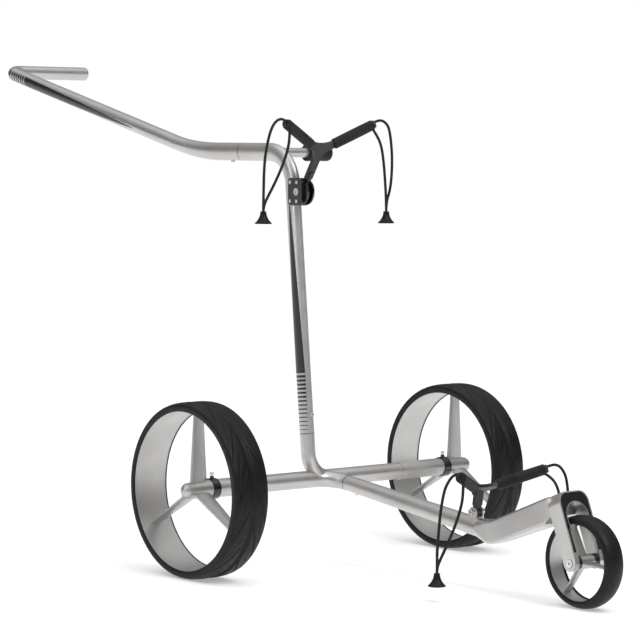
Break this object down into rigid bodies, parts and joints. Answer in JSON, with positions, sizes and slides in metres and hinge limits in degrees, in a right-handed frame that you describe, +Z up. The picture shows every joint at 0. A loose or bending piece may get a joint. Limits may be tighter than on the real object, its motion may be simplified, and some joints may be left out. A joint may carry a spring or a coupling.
{
  "type": "golf push cart",
  "caption": "Three-wheel golf push cart with cranked tube frame, one-sided handle and folding bag racks with elastic cord loops",
  "frame": {"origin": "floor level, midway along the cart and on its centre plane", "axes": "+X to the cart's left along the rear axle, -Y forward towards the front wheel, +Z up"},
  "size_m": [0.66, 1.6462, 0.8854],
  "materials": {
    "frame_silver": "satin warm silver with plain dark tapered stripes on the cart's right side",
    "wheel_silver": "satin machined silver-grey",
    "tyre_rubber": "matte black tread",
    "black_metal": "matte black powder coat",
    "black_plastic": "glossy moulded black",
    "grip_foam": "fine-grained black foam rubber",
    "elastic_cord": "braided black elastic",
    "toggle_rubber": "satin black moulded rubber",
    "steel": "bright zinc-plated steel"
  },
  "bodies": {
    "chassis": {"axle_collar_left": "black_plastic", "axle_collar_right": "black_plastic", "axle_end_sleeves": "frame_silver", "axle_front_tube": "frame_silver", "axle_mast_tube": "frame_silver", "clamp_body": "black_plastic", "clamp_screws": "steel", "fork": "frame_silver", "fork_insert": "black_plastic", "front_axle_bolt": "steel", "front_spacers": "black_plastic", "front_spigot": "frame_silver", "front_tube": "frame_silver", "grip_cap": "frame_silver", "handle_spigot": "frame_silver", "handle_tube": "frame_silver", "lower_clevis": "frame_silver", "lower_pivot_bolt": "steel", "mast_spigot": "frame_silver", "mast_tube": "frame_silver", "neck": "frame_silver", "peg_rod": "frame_silver", "peg_sleeve": "grip_foam", "upper_pivot_bolt": "steel", "wheel_pin_left": "steel", "wheel_pin_right": "steel"},
    "rear_wheel_left": {"rear_bushes_left": "steel", "rear_rim_left": "wheel_silver", "rear_spider_left": "wheel_silver", "rear_tyre_left": "tyre_rubber"},
    "rear_wheel_right": {"rear_bushes_right": "steel", "rear_rim_right": "wheel_silver", "rear_spider_right": "wheel_silver", "rear_tyre_right": "tyre_rubber"},
    "front_wheel": {"front_rim": "wheel_silver", "front_spider": "wheel_silver", "front_tyre": "tyre_rubber"},
    "upper_rack": {"upper_cone_left": "toggle_rubber", "upper_cone_right": "toggle_rubber", "upper_cord_left_inner": "elastic_cord", "upper_cord_left_outer": "elastic_cord", "upper_cord_right_inner": "elastic_cord", "upper_cord_right_outer": "elastic_cord", "upper_sleeve_left": "grip_foam", "upper_sleeve_right": "grip_foam", "upper_yoke": "black_metal"},
    "lower_rack": {"lower_cone_left": "toggle_rubber", "lower_cone_right": "toggle_rubber", "lower_cord_left_inner": "elastic_cord", "lower_cord_left_outer": "elastic_cord", "lower_cord_right_inner": "elastic_cord", "lower_cord_right_outer": "elastic_cord", "lower_sleeve_left": "grip_foam", "lower_sleeve_right": "grip_foam", "lower_yoke": "black_metal"},
    "release_left": {"release_pin_left": "steel"},
    "release_right": {"release_pin_right": "steel"},
    "mast_lock": {"mast_button": "steel"},
    "front_lock": {"front_button": "steel"},
    "handle_lock": {"handle_button": "steel"}
  },
  "joints": [
    {"name": "rear_wheel_left_spin", "type": "hinge", "parent": "chassis", "child": "rear_wheel_left", "pos_m": [0.295, -0.1251, 0.15], "axis": [1, 0, 0], "continuous": true},
    {"name": "rear_wheel_right_spin", "type": "hinge", "parent": "chassis", "child": "rear_wheel_right", "pos_m": [-0.295, -0.1251, 0.15], "axis": [1, 0, 0], "continuous": true},
    {"name": "front_wheel_spin", "type": "hinge", "parent": "chassis", "child": "front_wheel", "pos_m": [0, -0.7481, 0.075], "axis": [1, 0, 0], "continuous": true},
    {"name": "upper_rack_fold", "type": "hinge", "parent": "chassis", "child": "upper_rack", "pos_m": [-0.049, -0.1007, 0.652], "axis": [1, 0, 0], "range_deg": [-10, 60]},
    {"name": "lower_rack_fold", "type": "hinge", "parent": "chassis", "child": "lower_rack", "pos_m": [0, -0.4983, 0.12918], "axis": [1, 0, 0], "range_deg": [-60, 10]},
    {"name": "release_pin_left_press", "type": "slide", "parent": "chassis", "child": "release_left", "axis": [0, 0, -1], "range_m": [0, 0.0022], "stiffness_N_per_m": 1200, "springref_m": -0.002},
    {"name": "release_pin_right_press", "type": "slide", "parent": "chassis", "child": "release_right", "axis": [0, 0, -1], "range_m": [0, 0.0022], "stiffness_N_per_m": 1200, "springref_m": -0.002},
    {"name": "mast_lock_press", "type": "slide", "parent": "chassis", "child": "mast_lock", "axis": [0, 0.9951, -0.0993], "range_m": [0, 0.0025], "stiffness_N_per_m": 1200, "springref_m": -0.002},
    {"name": "front_lock_press", "type": "slide", "parent": "chassis", "child": "front_lock", "axis": [0, -0.1219, 0.9925], "range_m": [0, 0.0025], "stiffness_N_per_m": 1200, "springref_m": -0.002},
    {"name": "handle_lock_press", "type": "slide", "parent": "chassis", "child": "handle_lock", "axis": [0, 0, 1], "range_m": [0, 0.0025], "stiffness_N_per_m": 1200, "springref_m": -0.002}
  ]
}
